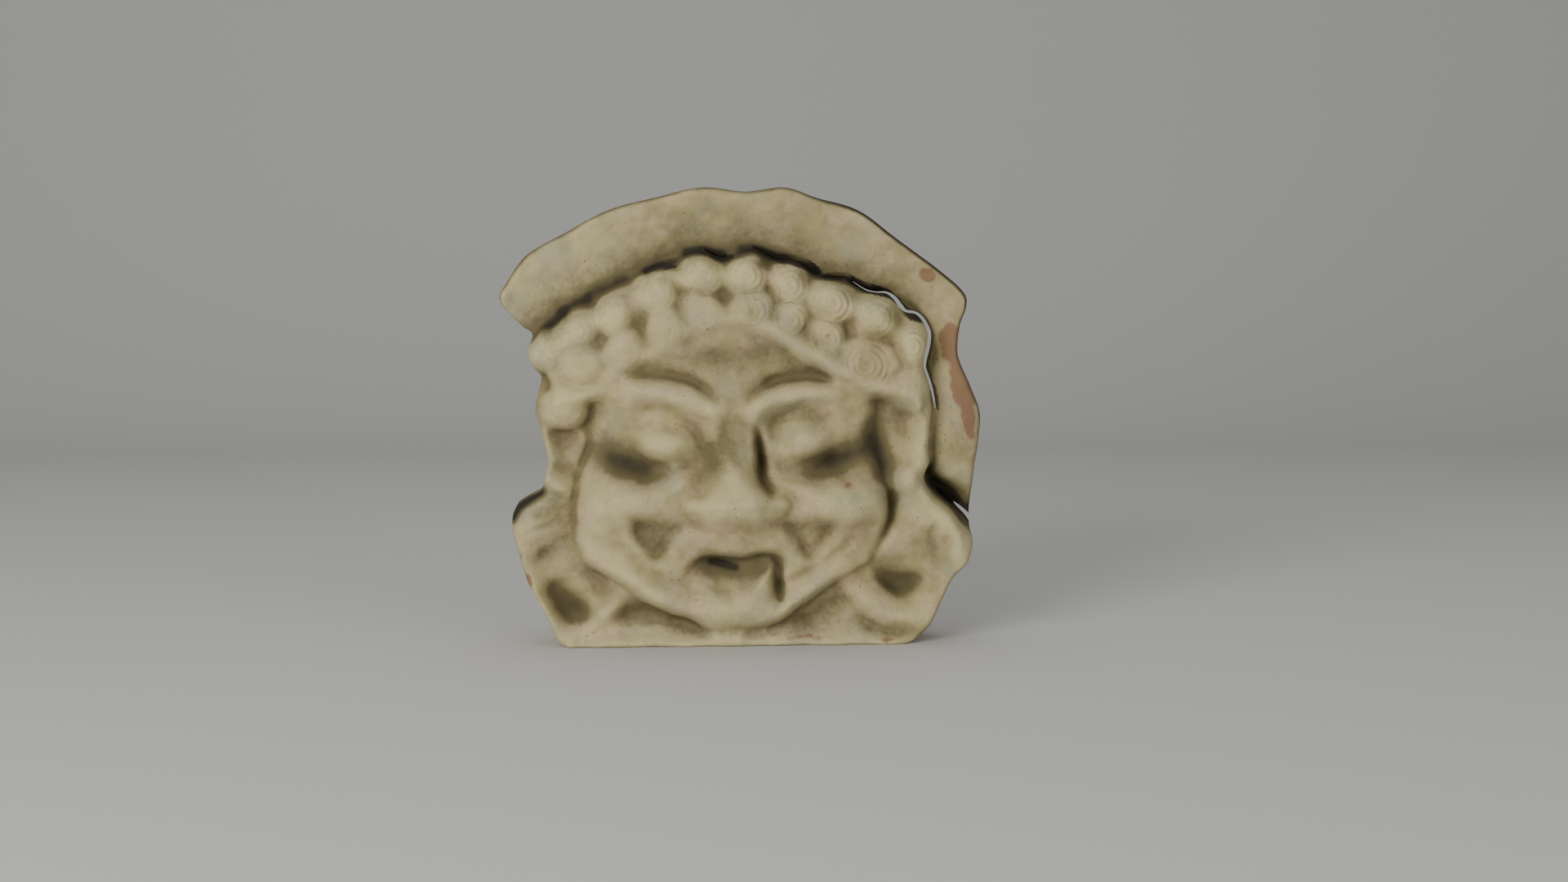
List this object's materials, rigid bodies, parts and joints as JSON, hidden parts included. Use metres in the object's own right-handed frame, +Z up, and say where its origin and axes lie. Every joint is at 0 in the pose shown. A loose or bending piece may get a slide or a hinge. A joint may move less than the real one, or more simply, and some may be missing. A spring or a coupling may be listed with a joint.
{
  "type": "antefix",
  "caption": "Moulded clay roof-edge ornament: a grinning gorgon's head with rows of curls under an arched hood, with the root of its cover tile behind.",
  "frame": {"origin": "on the flat underside, midway across the piece, in the plane of the hood's plain face", "axes": "+Z up from the underside, the carved face looks along -Y, +Y runs back along the cover tile, +X is to the right as seen from the front"},
  "size_m": [0.2222, 0.0985, 0.2104],
  "materials": {
    "fired_clay": "matt fired clay under a worn pale buff slip"
  },
  "bodies": {
    "root": {"antefix": "fired_clay"}
  },
  "joints": []
}
